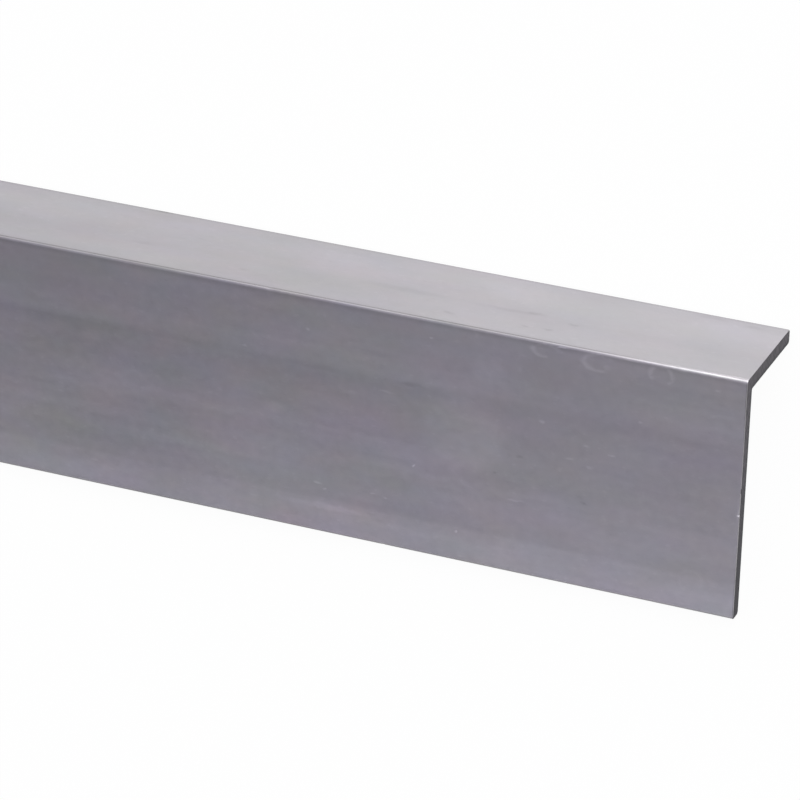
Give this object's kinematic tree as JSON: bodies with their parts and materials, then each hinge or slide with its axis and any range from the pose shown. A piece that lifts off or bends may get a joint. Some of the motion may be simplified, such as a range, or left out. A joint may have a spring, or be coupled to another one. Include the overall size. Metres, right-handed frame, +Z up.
{
  "type": "metal angle section",
  "caption": "Straight extruded aluminium angle with one wide and one narrow leg at a right angle and square-sawn ends, for edging, bracing and framing.",
  "frame": {"origin": "middle of the length and width, on the floor that the two toes rest on", "axes": "+X along the length, +Y towards the narrow leg's toe, +Z up through the heel side"},
  "size_m": [1, 0.0554, 0.0236],
  "materials": {
    "mill_aluminium": "mill finish, satin, with fine extrusion lines along the length and plain sawn ends"
  },
  "bodies": {
    "root": {"angle_section": "mill_aluminium"}
  },
  "joints": []
}
